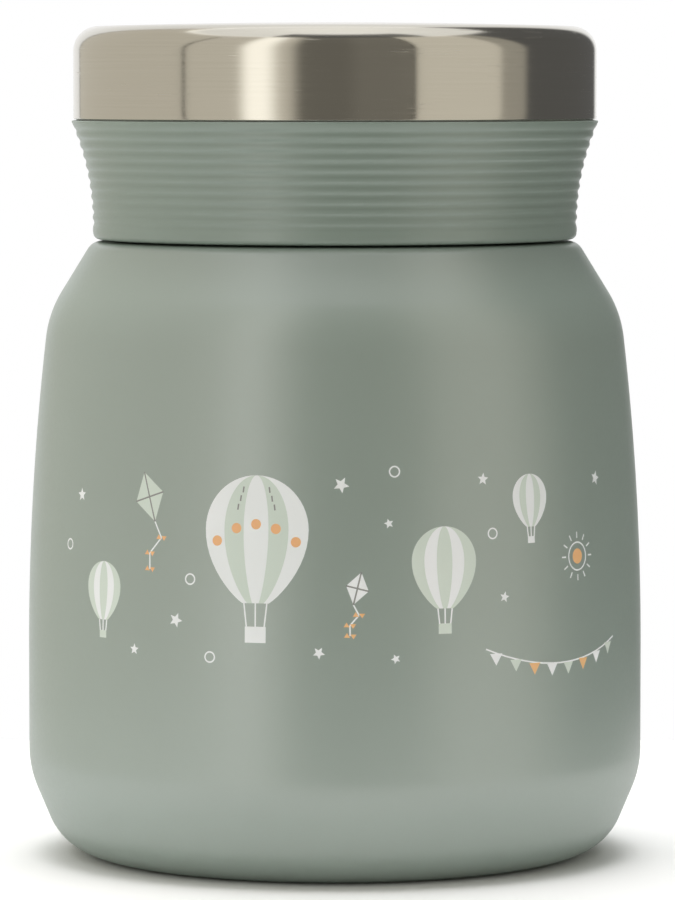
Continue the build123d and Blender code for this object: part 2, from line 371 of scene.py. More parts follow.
class Wiring:
    """Adds nodes to a node tree and joins their sockets."""

    def __init__(self, tree: bpy.types.NodeTree) -> None:
        """Start on an empty tree."""
        self.tree = tree
        tree.nodes.clear()

    def add(
        self, kind: str, values: dict[object, object] | None = None, **settings: object
    ) -> bpy.types.Node:
        """Add a node.

        Args:
            kind: Blender's name for the node type.
            values: Values, or sockets to join, by input name or number.
            **settings: Properties of the node.

        Returns:
            The node.
        """
        node = self.tree.nodes.new(kind)
        for name, value in settings.items():
            setattr(node, name, value)
        for name, value in (values or {}).items():
            self.feed(node.inputs[name], value)
        return node

    def feed(self, socket: Socket, value: object) -> None:
        """Join a socket, or set a value, on an input.

        Args:
            socket: The input.
            value: The output that feeds it, or its constant value.
        """
        if isinstance(value, Socket):
            self.tree.links.new(value, socket)
        else:
            socket.default_value = value

    def math(self, operation: str, *values: object) -> Socket:
        """Add a Math node.

        Args:
            operation: Blender's name for the operation.
            *values: Numbers, or sockets to join, in the order of its inputs.

        Returns:
            Its result.
        """
        node = self.add("ShaderNodeMath", operation=operation)
        for socket, value in zip(node.inputs, values):
            self.feed(socket, value)
        return node.outputs[0]

    def spread(
        self, value: object, low: float, high: float, to_low: float = 0.0, to_high: float = 1.0
    ) -> Socket:
        """Map a value smoothly from one range to another, without passing its ends."""
        return self.add(
            "ShaderNodeMapRange",
            {"Value": value, "From Min": low, "From Max": high, "To Min": to_low, "To Max": to_high},
            interpolation_type="SMOOTHSTEP",
        ).outputs["Result"]

    def blend(self, factor: object, first: object, second: object) -> Socket:
        """Mix two colours.

        Args:
            factor: 0 for the first colour, 1 for the second.
            first: The first colour.
            second: The second colour.

        Returns:
            The mixed colour.
        """
        node = self.add("ShaderNodeMix", data_type="RGBA")
        for index, value in ((0, factor), (6, first), (7, second)):
            self.feed(node.inputs[index], value)
        return node.outputs[2]

    def place(self) -> Socket:
        """Object coordinates, in metres."""
        return self.add("ShaderNodeTexCoord").outputs["Object"]

    def bump(self, height: object, distance: float) -> Socket:
        """Add a Bump node at full strength and return its normal."""
        inputs = {"Strength": 1.0, "Distance": distance, "Height": height}
        return self.add("ShaderNodeBump", inputs).outputs[0]


def new_group(
    name: str, inputs: Sequence[tuple[str, float]], outputs: Sequence[str]
) -> tuple[Wiring, bpy.types.Node, bpy.types.Node]:
    """Start a shader node group with number inputs and number outputs.

    Args:
        name: Name of the group.
        inputs: Name and default value of each input.
        outputs: Name of each output.

    Returns:
        The wiring of the group, its input node and its output node.
    """
    tree = bpy.data.node_groups.new(name, "ShaderNodeTree")
    for label, value in inputs:
        socket = tree.interface.new_socket(label, in_out="INPUT", socket_type="NodeSocketFloat")
        socket.default_value = value
    for label in outputs:
        tree.interface.new_socket(label, in_out="OUTPUT", socket_type="NodeSocketFloat")
    wiring = Wiring(tree)
    return wiring, wiring.add("NodeGroupInput"), wiring.add("NodeGroupOutput")


def grain_group() -> bpy.types.NodeTree:
    """Fine even grain of a sprayed, moulded or printed surface, with broad cloudy tone over it.

    Returns:
        The group, with inputs Scale and Cloud Scale and outputs Height and Cloud.
    """
    wiring, ports, result = new_group(
        "surface_grain", (("Scale", 900.0), ("Cloud Scale", 30.0)), ("Height", "Cloud")
    )
    place = wiring.place()
    for output, scale, detail in (("Height", "Scale", 2.0), ("Cloud", "Cloud Scale", 3.0)):
        noise = wiring.add(
            "ShaderNodeTexNoise",
            {"Vector": place, "Scale": ports.outputs[scale], "Detail": detail, "Roughness": 0.55},
        )
        wiring.feed(result.inputs[output], noise.outputs["Fac"])
    return wiring.tree


def brush_group() -> bpy.types.NodeTree:
    """Fine scratches that run round the axis, stacked in height and, a little closer, in radius.

    Returns:
        The group, with inputs Pitch (lines a metre) and Length (breaks a metre along a line) and
        outputs Line and Scratch.
    """
    radial_share = 1.3
    wiring, ports, result = new_group(
        "brush_lines", (("Pitch", 9000.0), ("Length", 25.0)), ("Line", "Scratch")
    )
    x, y, z = wiring.add("ShaderNodeSeparateXYZ", {"Vector": wiring.place()}).outputs
    squares = [wiring.math("POWER", axis, 2.0) for axis in (x, y)]
    reach = wiring.math("SQRT", wiring.math("ADD", *squares))
    stack = wiring.math("MULTIPLY_ADD", reach, radial_share, z)
    for output, pitch_share, length_share, detail in (("Line", 1.0, 1.0, 4.0), ("Scratch", 0.4, 5.0, 1.0)):
        pitch = wiring.math("MULTIPLY", ports.outputs["Pitch"], pitch_share)
        along = wiring.math("MULTIPLY", ports.outputs["Length"], length_share)
        stretched = wiring.add(
            "ShaderNodeCombineXYZ",
            {
                "X": wiring.math("MULTIPLY", x, along),
                "Y": wiring.math("MULTIPLY", y, along),
                "Z": wiring.math("MULTIPLY", stack, pitch),
            },
        )
        noise = wiring.add(
            "ShaderNodeTexNoise",
            {"Vector": stretched.outputs[0], "Scale": 1.0, "Detail": detail, "Roughness": 0.6},
        )
        value = noise.outputs["Fac"]
        if output == "Scratch":
            value = wiring.spread(value, *SCRATCH_BAND)
        wiring.feed(result.inputs[output], value)
    return wiring.tree


# ------------------------------------------------------------------ finishes


def start_material(name: str) -> tuple[Material, Wiring, bpy.types.Node]:
    """Start a node material with a Principled shader joined to its output.

    Args:
        name: Name of the material.

    Returns:
        The material, its wiring and its shader node.
    """
    material = bpy.data.materials.new(name)
    material.use_nodes = True
    wiring = Wiring(material.node_tree)
    shader = wiring.add("ShaderNodeBsdfPrincipled")
    wiring.add("ShaderNodeOutputMaterial", {"Surface": shader.outputs[0]})
    return material, wiring, shader


def use_group(wiring: Wiring, tree: bpy.types.NodeTree, **values: float) -> bpy.types.Node:
    """Place a node group in a material, with its own values (underscores stand for spaces)."""
    inputs = {name.replace("_", " "): value for name, value in values.items()}
    return wiring.add("ShaderNodeGroup", inputs, node_tree=tree)


@dataclass(frozen=True)
class Groups:
    """Node groups that several finishes share."""

    grain: bpy.types.NodeTree
    brush: bpy.types.NodeTree


@dataclass(frozen=True)
class MatteCoat:
    """Soft, evenly coloured skin: powder coat, silicone, moulded plastic, foam or ink."""

    name: str
    colour: str
    shade: str
    roughness: float
    grain_scale: float
    bump: float
    sheen: float = 0.0
    subsurface: float = 0.0
    index: float = 1.5
    cloud_scale: float = 22.0
    unevenness: float = 0.04

    def skin(self, wiring: Wiring, groups: Groups) -> tuple[Socket, Socket, Socket]:
        """Wire up the coat's surface.

        Args:
            wiring: The wiring of a material that shows the coat.
            groups: The shared node groups.

        Returns:
            Its clouded colour, its grained roughness and the height of its grain.
        """
        grain = use_group(wiring, groups.grain, Scale=self.grain_scale, Cloud_Scale=self.cloud_scale)
        cloud = wiring.spread(grain.outputs["Cloud"], *CLOUD_BAND)
        colour = wiring.blend(cloud, linear(self.shade), linear(self.colour))
        low, high = self.roughness - self.unevenness, self.roughness + self.unevenness
        rough = wiring.spread(grain.outputs["Height"], *GRAIN_BAND, low, high)
        return colour, rough, grain.outputs["Height"]

    def material(self, groups: Groups) -> Material:
        """Build the material.

        Args:
            groups: The shared node groups.

        Returns:
            The material.
        """
        material, wiring, shader = start_material(self.name)
        colour, rough, height = self.skin(wiring, groups)
        wiring.feed(shader.inputs["Base Color"], colour)
        wiring.feed(shader.inputs["Roughness"], rough)
        wiring.feed(shader.inputs["Normal"], wiring.bump(height, self.bump))
        shader.inputs["Sheen Weight"].default_value = self.sheen
        shader.inputs["Subsurface Weight"].default_value = self.subsurface
        shader.inputs["Subsurface Scale"].default_value = MM
        shader.inputs["IOR"].default_value = self.index
        return material


@dataclass(frozen=True)
class BrushedSteel:
    """Stainless steel brushed round the axis."""

    name: str
    colour: str
    shade: str
    roughness: float
    anisotropy: float = 0.0
    pitch: float = 9000.0
    line_breaks: float = 28.0
    scratch: float = 0.12
    unevenness: float = 0.03
    bump: float = 0.3e-6

    def material(self, groups: Groups) -> Material:
        """Build the material.

        Args:
            groups: The shared node groups.

        Returns:
            The material.
        """
        material, wiring, shader = start_material(self.name)
        brush = use_group(wiring, groups.brush, Pitch=self.pitch, Length=self.line_breaks)
        line = wiring.spread(brush.outputs["Line"], *GRAIN_BAND)
        colour = wiring.blend(line, linear(self.shade), linear(self.colour))
        wiring.feed(shader.inputs["Base Color"], colour)
        shader.inputs["Metallic"].default_value = 1.0
        low, high = self.roughness - self.unevenness, self.roughness + self.unevenness
        lined = wiring.spread(line, 0.0, 1.0, low, high)
        scratched = wiring.math("MULTIPLY_ADD", brush.outputs["Scratch"], self.scratch, lined)
        wiring.feed(shader.inputs["Roughness"], scratched)
        shader.inputs["Anisotropic"].default_value = self.anisotropy
        shader.inputs["Anisotropic Rotation"].default_value = 0.25
        tangent = wiring.add("ShaderNodeTangent", direction_type="RADIAL", axis="Z")
        wiring.feed(shader.inputs["Tangent"], tangent.outputs[0])
        wiring.feed(shader.inputs["Normal"], wiring.bump(line, self.bump))
        return material


@dataclass(frozen=True)
class CoatedShell:
    """Powder coat over the jar's shell, which ends in bare brushed steel at the neck."""

    name: str
    coat: MatteCoat
    steel: BrushedSteel
    edge_height: float
    edge_width: float = 0.08
    edge_wander: float = 0.12
    steel_relief: float = 0.15

    def material(self, groups: Groups) -> Material:
        """Build the material.

        Args:
            groups: The shared node groups.

        Returns:
            The material.
        """
        material, wiring, shader = start_material(self.name)
        height = wiring.add("ShaderNodeSeparateXYZ", {"Vector": wiring.place()}).outputs[2]
        coat, coat_rough, grain = self.coat.skin(wiring, groups)
        edge = wiring.math("MULTIPLY_ADD", grain, self.edge_wander * MM, height)
        bare = wiring.spread(edge, self.edge_height * MM, (self.edge_height + self.edge_width) * MM)
        brush = use_group(wiring, groups.brush, Pitch=self.steel.pitch, Length=self.steel.line_breaks)
        line = brush.outputs["Line"]
        steel = wiring.blend(line, linear(self.steel.shade), linear(self.steel.colour))
        wiring.feed(shader.inputs["Base Color"], wiring.blend(bare, coat, steel))
        wiring.feed(shader.inputs["Metallic"], bare)
        fall = wiring.math("SUBTRACT", self.steel.roughness, coat_rough)
        wiring.feed(shader.inputs["Roughness"], wiring.math("MULTIPLY_ADD", bare, fall, coat_rough))
        sprayed = wiring.math("MULTIPLY", grain, wiring.math("SUBTRACT", 1.0, bare))
        brushed = wiring.math("MULTIPLY", line, bare)
        relief = wiring.math("MULTIPLY_ADD", brushed, self.steel_relief, sprayed)
        wiring.feed(shader.inputs["Normal"], wiring.bump(relief, self.coat.bump))
        shader.inputs["IOR"].default_value = self.coat.index
        return material


class Ink(Enum):
    """Inks of the printed band: name, colour and shade."""

    WHITE = ("ink_white", "#fbfdff", "#f2f6f7")
    MINT = ("ink_mint", "#dfe9df", "#d5e1d7")
    GREY = ("ink_grey", "#9a9b98", "#8f908d")
    PEACH = ("ink_peach", "#fbc98f", "#f6bc86")


@dataclass(frozen=True)
class Finishes:
    """Every finish on the jar."""

    shell: Material
    cap: Material
    vessel: Material
    base: Material
    grip: Material
    plastic: Material
    seal: Material
    foam: Material
    foil: Material
    glass: Material
    getter: Material
    inks: dict[Ink, Material]


def make_finishes(groups: Groups, coat_edge: float) -> Finishes:
    """Build the finishes.

    Args:
        groups: The shared node groups.
        coat_edge: Height where the powder coat ends on the jar's neck.

    Returns:
        The finishes.
    """
    coat = MatteCoat(
        "powder_coat",
        "#92a198",
        "#8f9e95",
        roughness=0.35,
        grain_scale=1500.0,
        bump=2e-6,
        index=2.5,
        cloud_scale=16.0,
        unevenness=0.03,
    )
    bare = BrushedSteel("bare_steel", "#c5c1ba", "#b0aca5", 0.26)
    recipes = {
        "shell": CoatedShell("coated_shell", coat, bare, coat_edge),
        "cap": BrushedSteel("cap_steel", "#cfcbc1", "#cbc7bc", 0.14, 0.6, unevenness=0.02),
        "vessel": BrushedSteel("vessel_steel", "#cdcac5", "#bab6b0", 0.3, 0.5, pitch=5000.0),
        "base": BrushedSteel("base_steel", "#c4c0b9", "#aeaaa3", 0.3, 0.4),
        "grip": MatteCoat("grip_silicone", "#8f9f96", "#8b9b92", 0.34, 2600.0, 2e-6, index=1.85),
        "plastic": MatteCoat("lid_plastic", "#c9cdc7", "#c2c6c0", 0.38, 2200.0, 4e-6),
        "seal": MatteCoat(
            "seal_silicone", "#e3e4e0", "#d9dbd6", 0.45, 2600.0, 3e-6, sheen=0.1, subsurface=0.4
        ),
        "foam": MatteCoat("foam_white", "#eeeeea", "#e2e2dc", 0.85, 1800.0, 6e-5),
        "foil": BrushedSteel("copper_foil", "#d98c62", "#c87a52", 0.24, 0.2, pitch=2500.0),
        "glass": MatteCoat("solder_glass", "#3a4048", "#30353c", 0.08, 900.0, 1e-6),
        "getter": MatteCoat("getter_metal", "#5d5d5f", "#4d4d50", 0.6, 3000.0, 3e-5),
    }
    made = {part: recipe.material(groups) for part, recipe in recipes.items()}
    inks = {
        ink: MatteCoat(*ink.value, roughness=0.4, grain_scale=2400.0, bump=2e-6).material(groups)
        for ink in Ink
    }
    return Finishes(**made, inks=inks)


# ------------------------------------------------------------------ closure thread


@dataclass(frozen=True)
class Lugs:
    """Three broad lugs that climb round a wall and run out into it at both ends.

    Lengths are in millimetres, and the span and the start turn in degrees. The root of a lug is sunk
    a little into the wall, so that no gap shows beside it.
    """

    wall_r: float
    crest_r: float
    span: float
    low_z: float
    start_turn: float
    fade: float
    lead: float = 13.5
    starts: int = 3
    base: float = 2.6
    crest: float = 1.2
    sink: float = 0.2
    steps: int = 60
    softness: float = 0.3

    def build(self) -> Mesh:
        """Sweep one lug, run its ends out, and repeat it round the axis.

        Returns:
            The mesh of all lugs, in millimetres.
        """
        sunk_r = self.wall_r + (self.sink if self.crest_r < self.wall_r else -self.sink)
        half_base, half_crest = self.base / 2, self.crest / 2
        bar = Profile(sunk_r, -half_base).lines(
            (self.wall_r, -half_base),
            (self.crest_r, -half_crest),
            (self.crest_r, half_crest),
            (self.wall_r, half_base),
            (sunk_r, half_base),
            (sunk_r, -half_base),
        ).mesh
        bmesh.ops.remove_doubles(bar, verts=bar.verts[:], dist=WELD)
        bmesh.ops.spin(
            bar,
            geom=bar.verts[:] + bar.edges[:],
            cent=(0, 0, 0),
            axis=UP,
            dvec=UP * (self.lead * self.span / 360 / self.steps),
            angle=radians(self.span),
            steps=self.steps,
        )
        bmesh.ops.holes_fill(bar, edges=bar.edges[:], sides=0)
        bmesh.ops.recalc_face_normals(bar, faces=bar.faces[:])
        soften(bar, self.softness)
        self.run_out(bar)
        return self.repeat(bar)

    def run_out(self, bar: Mesh) -> None:
        """Hold the bar under a cylinder off the axis, which meets the wall at both ends.

        Args:
            bar: The swept bar.
        """
        outward = self.crest_r > self.wall_r
        shift = self.fade if outward else -self.fade
        half_span = radians(self.span / 2)
        cylinder_r = self.wall_r - shift * cos(half_span)
        for vert in bar.verts:
            angle = atan2(vert.co.y, vert.co.x) % tau - half_span
            limit = shift * cos(angle) + sqrt(cylinder_r**2 - (shift * sin(angle)) ** 2)
            reach = hypot(vert.co.x, vert.co.y)
            passes = reach > limit if outward else reach < limit
            if passes:
                vert.co.xy *= limit / reach

    def repeat(self, bar: Mesh) -> Mesh:
        """Set the bar at its place and copy it to every start of the thread.

        Args:
            bar: The finished bar.

        Returns:
            The mesh of all lugs.
        """
        first = whole(bar)
        swing(bar, bar.verts[:], radians(self.start_turn))
        bmesh.ops.translate(bar, verts=bar.verts[:], vec=(0, 0, self.low_z))
        for start in range(1, self.starts):
            copied = bmesh.ops.duplicate(bar, geom=first)["geom"]
            swing(bar, verts_of(copied), tau * start / self.starts)
        return bar


# ------------------------------------------------------------------ jar


@dataclass
class JarBody:
    """Coated outer shell with its neck lugs, inner vessel and base.

    Lengths are in millimetres. A corner is given as radius, height and rounding, with one of them
    left out where it is another part's. The shell keeps inside the solid by the room for the ink.
    """

    finishes: Finishes
    ink_room: float = 0.02
    wall: float = 0.6
    foot: Point = (44.1, 9.9)
    knee: Point = (14.0, 16.4)
    barrel: Point = (58.7, 440.0)
    shoulder: tuple[float, float, float] = (46.6, 88.2, 18.0)
    deck: tuple[float, float, float] = (39.45, 99.8, 2.6)
    neck_r: float = 34.1
    neck_root: float = 0.9
    neck_top: float = 115.0
    vessel_r: float = 45.0
    vessel_wall: float = 0.5
    vessel_seam: float = 21.0
    vessel_floor: float = 9.0
    vessel_crown: float = 1.0
    vessel_heel: float = 11.0
    vessel_side: Point = (60.0, 300.0)
    vessel_shoulder: tuple[float, float, float] = (42.2, 86.6, 12.0)
    vessel_throat: Point = (97.4, 5.0)
    lip_round: float = 0.7
    mouth_r: float = 32.1
    pan_wall: float = 0.6
    pan_ledge: Point = (34.0, 2.4)
    pan_floor: float = 4.6
    pan_bend: float = 0.8
    dimple_mouth_r: float = 5.5
    dimple_top_r: float = 3.5
    dimple_rise: float = 1.0
    pump_hole_r: float = 0.7
    cover_edge: float = 0.2
    lug_height: float = 0.9
    belly_r: float = field(init=False)
    pan_r: float = field(init=False)
    outline: list[Point] = field(init=False, default_factory=list)

    def __post_init__(self) -> None:
        """Take the driving sizes from the frame."""
        self.belly_r = node_span("outer_shell")[0]
        self.pan_r = node_span("outer_bottom")[0]

    def make_shell(self) -> None:
        """Spin the shell from its foot to the top of its neck."""
        belly = self.belly_r - self.ink_room
        foot_r, foot_round = self.foot
        shoulder_r, shoulder_z, shoulder_round = self.shoulder
        deck_z = self.deck[1]
        section = Profile(self.pan_r, 0).fillets(
            [
                Corner(foot_r - self.ink_room, 0, foot_round, 16),
                Corner(belly, *self.knee, 10),
                Corner(belly, *self.barrel, 24, 9),
                Corner(shoulder_r - self.ink_room, shoulder_z, shoulder_round, 14),
                Corner(*self.deck, 8, 4),
                Corner(self.neck_r, deck_z, self.neck_root, 5),
            ],
            (self.neck_r, self.neck_top),
        )
        self.outline = section.heights()
        shell = section.turn(wall=self.wall)
        dress(shell, "jar_shell", self.finishes.shell, Body.JAR, Slot.COAT, "outer_shell")

    def make_neck_lugs(self) -> None:
        """Wind the lugs round the neck."""
        crest_r = self.neck_r + self.lug_height
        lugs = Lugs(self.neck_r, crest_r, span=150.0, low_z=103.6, start_turn=0.0, fade=2.3)
        dress(lugs.build(), "neck_lugs", self.finishes.shell, Body.JAR, Slot.STEEL)

    def make_vessel(self) -> None:
        """Spin the inner vessel: its wall up to the lip over the neck, and its dished bottom."""
        neck_r = self.mouth_r + self.vessel_wall
        wall = Profile(self.vessel_r, self.vessel_seam).fillets(
            [
                Corner(self.vessel_r, *self.vessel_side, 12, 4),
                Corner(*self.vessel_shoulder, 12),
                Corner(neck_r, *self.vessel_throat, 8),
                Corner(neck_r, self.neck_top, self.lip_round, 6, 3),
            ],
            (self.neck_r, self.neck_top),
        )
        vessel = wall.turn(wall=self.vessel_wall)
        dress(vessel, "vessel_wall", self.finishes.vessel, Body.JAR, Slot.VESSEL, "inner_liner")
        crown_z = self.vessel_floor + self.vessel_crown
        dish = Profile(0, crown_z).fillets(
            [
                Corner(self.vessel_r / 3, crown_z, self.vessel_r, 4, 2),
                Corner(self.vessel_r * 2 / 3, self.vessel_floor, self.vessel_r, 4),
                Corner(self.vessel_r, self.vessel_floor, self.vessel_heel, 14),
            ],
            (self.vessel_r, self.vessel_seam),
        )
        bottom = dish.turn(wall=self.vessel_wall)
        dress(bottom, "vessel_bottom", self.finishes.vessel, Body.JAR, Slot.VESSEL, "liner_bottom")

    def make_base(self) -> None:
        """Spin the pan that closes the shell, and the disc that covers it."""
        ledge_r, ledge_z = self.pan_ledge
        dimple_z = self.pan_floor + self.dimple_rise
        section = Profile(self.pan_r, 0).fillets(
            [
                Corner(self.pan_r, ledge_z, self.pan_bend, 5),
                Corner(ledge_r, ledge_z, self.pan_bend / 2, 4),
                Corner(ledge_r, self.pan_floor, self.pan_bend, 5),
                Corner(self.dimple_mouth_r, self.pan_floor, self.pan_bend, 4, 3),
                Corner(self.dimple_top_r, dimple_z, self.pan_bend, 4),
            ],
            (self.pump_hole_r, dimple_z),
        )
        pan = section.turn(wall=self.pan_wall)
        dress(pan, "base_pan", self.finishes.base, Body.JAR, Slot.STEEL, "outer_bottom")
        cover_r, low_z, top_z = node_span("base_cover")
        disc = Profile(0, low_z).line(cover_r, low_z, 6).lines((cover_r, top_z), (0, top_z))
        cover = disc.turn(softened=self.cover_edge)
        dress(cover, "base_disc", self.finishes.base, Body.JAR, Slot.STEEL, "base_cover")

    def radius_at(self, height: float) -> float:
        """Radius of the shell's outside at a height.

        Args:
            height: A height below the shell's deck.

        Returns:
            The radius there.
        """
        for (low_z, low_r), (high_z, high_r) in zip(self.outline, self.outline[1:]):
            if low_z <= height < high_z:
                return low_r + (high_r - low_r) * (height - low_z) / (high_z - low_z)
        return self.belly_r - self.ink_room

    def build(self) -> None:
        """Make every piece of the jar."""
        self.make_shell()
        self.make_neck_lugs()
        self.make_vessel()
        self.make_base()


# ------------------------------------------------------------------ print


@dataclass(frozen=True)
class BalloonShape:
    """Proportions of a hot-air balloon, in radii of its bag."""

    taper: float = 0.3
    stretch: float = 0.45
    mouth_drop: float = 1.36
    broad_gore: float = 0.62
    slim_gore: float = 0.24
    rope_spread: float = 0.22
    rope_gather: float = 0.17
    rope_drop: float = 1.8
    basket_drop: float = 1.94
    basket_half: float = 0.2
    basket_height: float = 0.3
    dot_step: float = 0.38
    dot_rise: float = 0.1
    dot_sag: float = 0.08
    stitch_rise: float = 0.36
    stitch_aside: float = 0.36
    stitch_step: float = 0.16
    stitch_lean: float = 0.05


@dataclass
class PrintedBand:
    """Films of ink on the barrel, once in front and once behind: balloons, kites, a sun and more.

    Each shape is drawn flat, as millimetres round the barrel from the front and millimetres of
    height, and is then rolled round the shell.
    """

    jar: JarBody
    finishes: Finishes
    first_level: float = 0.006
    level_step: float = 0.004
    film: float = 0.02
    row: float = 2.0
    line_width: float = 0.24
    balloon_shape: BalloonShape = BalloonShape()
    sheets: dict[Ink, Mesh] = field(init=False)

    def __post_init__(self) -> None:
        """Start an empty sheet for every ink."""
        self.sheets = {ink: bmesh.new() for ink in Ink}

    def settle(
        self,
        ink: Ink,
        verts: list[Vert],
        at: Point,
        level: int,
        size: Point = (1.0, 1.0),
        turn: float = 0.0,
    ) -> None:
        """Size a flat shape, turn it and move it to its place and layer.

        Args:
            ink: The sheet that it is on.
            verts: The shape's points.
            at: Place of its middle.
            level: Layer of ink, from 0, the lowest.
            size: Factors for its width and height.
            turn: Degrees that it is turned by, counter-clockwise.
        """
        sheet = self.sheets[ink]
        height = self.first_level + level * self.level_step
        bmesh.ops.scale(sheet, verts=verts, vec=(*size, 1))
        swing(sheet, verts, radians(turn))
        bmesh.ops.translate(sheet, verts=verts, vec=(*at, height))

    def disc(
        self, ink: Ink, at: Point, size: Point, level: int = 0, corners: int = 32, turn: float = 0.0
    ) -> None:
        """Lay a disc, or a regular shape with few corners, of a given half width and half height."""
        made = bmesh.ops.create_circle(self.sheets[ink], cap_ends=True, segments=corners, radius=1)
        self.settle(ink, made["verts"], at, level, size, turn)

    def hoop(self, ink: Ink, at: Point, radius: float, level: int = 0) -> None:
        """Lay a thin ring.

        Args:
            ink: Its ink.
            at: Its middle.
            radius: Radius of the middle of its line.
            level: Layer of ink.
        """
        sheet = self.sheets[ink]
        half = self.line_width / 2
        rims = [
            bmesh.ops.create_circle(sheet, segments=32, radius=rim_r)["verts"]
            for rim_r in (radius - half, radius + half)
        ]
        edges = {edge for rim in rims for vert in rim for edge in vert.link_edges}
        bmesh.ops.bridge_loops(sheet, edges=list(edges))
        self.settle(ink, rims[0] + rims[1], at, level)

    def stroke(self, ink: Ink, start: Point, end: Point, width: float = 0.0, level: int = 0) -> None:
        """Lay a straight bar.

        Args:
            ink: Its ink.
            start: The middle of one end.
            end: The middle of the other end.
            width: Its width, or 0 for the usual line width.
            level: Layer of ink.
        """
        run = Vector(end) - Vector(start)
        made = bmesh.ops.create_grid(self.sheets[ink], x_segments=1, y_segments=1, size=0.5)
        middle = (Vector(start) + Vector(end)) / 2
        size = (run.length, width or self.line_width)
        self.settle(ink, made["verts"], tuple(middle), level, size, degrees(atan2(run.y, run.x)))

    def path(self, ink: Ink, *points: Point, level: int = 0) -> None:
        """Lay a thin line through points."""
        for start, end in zip(points, points[1:]):
            self.stroke(ink, start, end, level=level)

    def star(self, ink: Ink, at: Point, radius: float, turn: float = 0.0) -> None:
        """Lay a small star of five points.

        Args:
            ink: Its ink.
            at: Its middle.
            radius: Radius out to its points.
            turn: Degrees that it is turned by.
        """
        inner_share = 0.45
        made = bmesh.ops.create_circle(self.sheets[ink], cap_ends=True, segments=10, radius=1)["verts"]
        for vert in made[::2]:
            vert.co *= inner_share
        self.settle(ink, made, at, 0, (radius, radius), turn)

    def envelope(
        self, ink: Ink, at: Point, radius: float, level: int = 0, narrow: float = 1.0
    ) -> None:
        """Lay the bag of a balloon, or one of its gores.

        Args:
            ink: Its ink.
            at: Middle of the bag's round part.
            radius: Radius of the round part.
            level: Layer of ink.
            narrow: Width of a gore as a share of the bag's.
        """
        sheet = self.sheets[ink]
        shape = self.balloon_shape
        made = bmesh.ops.create_circle(sheet, cap_ends=True, segments=56, radius=1)["verts"]
        for vert in made:
            drop = max(0.0, -vert.co.y)
            vert.co.x *= narrow * (1 - shape.taper * drop**2)
            vert.co.y -= shape.stretch * drop
        bag = made + list({edge for vert in made for edge in vert.link_edges}) + made[0].link_faces[:]
        cut = bmesh.ops.bisect_plane(
            sheet, geom=bag, plane_co=(0, -shape.mouth_drop, 0), plane_no=(0, -1, 0), clear_outer=True
        )
        self.settle(ink, verts_of(cut["geom"]), at, level, (radius, radius))

    def balloon(self, at: Point, radius: float, bag: Ink, gore: Ink) -> None:
        """Lay a hot-air balloon: its bag with two gores, its ropes and its basket.

        Args:
            at: Middle of the bag's round part.
            radius: Radius of the round part.
            bag: Ink of the bag.
            gore: Ink of the broad gore.
        """
        across, up = at
        shape = self.balloon_shape
        for ink, level, narrow in ((bag, 0, 1.0), (gore, 1, shape.broad_gore), (bag, 2, shape.slim_gore)):
            self.envelope(ink, at, radius, level, narrow)
        for side in (-1, 0, 1):
            top = (across + side * shape.rope_spread * radius, up - shape.mouth_drop * radius)
            foot = (across + side * shape.rope_gather * radius, up - shape.rope_drop * radius)
            self.stroke(Ink.WHITE, top, foot)
        half = shape.basket_half * radius
        low = up - shape.basket_drop * radius
        self.stroke(bag, (across - half, low), (across + half, low), width=shape.basket_height * radius)

    def trim(self, at: Point, radius: float) -> None:
        """Lay a sagging row of dots across a balloon's bag, and three stitches up each side of it.

        Args:
            at: Middle of the bag's round part.
            radius: Radius of the round part.
        """
        across, up = at
        shape = self.balloon_shape
        dot = (0.8, 0.8)
        stitch = (0.12, 0.9)
        for step in range(-2, 3):
            lift = shape.dot_sag * step**2
            place = (across + shape.dot_step * step * radius, up + (shape.dot_rise - lift) * radius)
            self.disc(Ink.PEACH, place, dot, 3)
        for side in (-1, 1):
            for row in range(3):
                low = up + (shape.stitch_rise + shape.stitch_step * row) * radius
                aside = across + side * (shape.stitch_aside - shape.stitch_lean * row) * radius
                self.stroke(Ink.GREY, (aside, low), (aside - side * stitch[0], low + stitch[1]), level=3)

    def kite(self, at: Point, size: float, turn: float, ink: Ink) -> None:
        """Lay a kite with a cross of spars and a tail of bows.

        Args:
            at: Middle of the kite.
            size: Half its height.
            turn: Degrees that it leans by.
            ink: Its ink.
        """
        half_width, tail_sway, tail_phase, tail_step = 0.7, 0.35, 1.9, 0.62
        bow, bow_gap = (0.55, 0.5), 0.5
        lean = Matrix.Rotation(radians(turn), 2)
        corners = ((0, 1), (half_width, 0), (0, -1), (-half_width, 0))
        ends = [Vector(at) + lean @ Vector(corner) * size for corner in corners]
        self.disc(ink, at, (half_width * size, size), 0, 4, turn)
        self.path(Ink.GREY, ends[0], ends[2], level=1)
        self.path(Ink.GREY, ends[1], ends[3], level=1)
        tail = [
            ends[2] + Vector((tail_sway * size * sin(tail_phase * step), -tail_step * size * step))
            for step in range(4)
        ]
        self.path(Ink.WHITE, *tail)
        for knot in tail[1:]:
            for side in (-1, 1):
                self.disc(Ink.PEACH, (knot.x + side * bow_gap, knot.y), bow, 1, 3, 90 * (1 + side))

    def sun(self, at: Point, radius: float) -> None:
        """Lay a thin ring round a disc, with short rays.

        Args:
            at: Its middle.
            radius: Radius of the ring.
        """
        core_share, ray_start, ray_end, rays = 0.55, 1.3, 1.75, 12
        core = core_share * radius
        self.hoop(Ink.WHITE, at, radius)
        self.disc(Ink.PEACH, at, (core, core))
        for ray in range(rays):
            way = Vector((cos(tau * ray / rays), sin(tau * ray / rays)))
            start, end = (Vector(at) + way * radius * reach for reach in (ray_start, ray_end))
            self.stroke(Ink.WHITE, start, end)

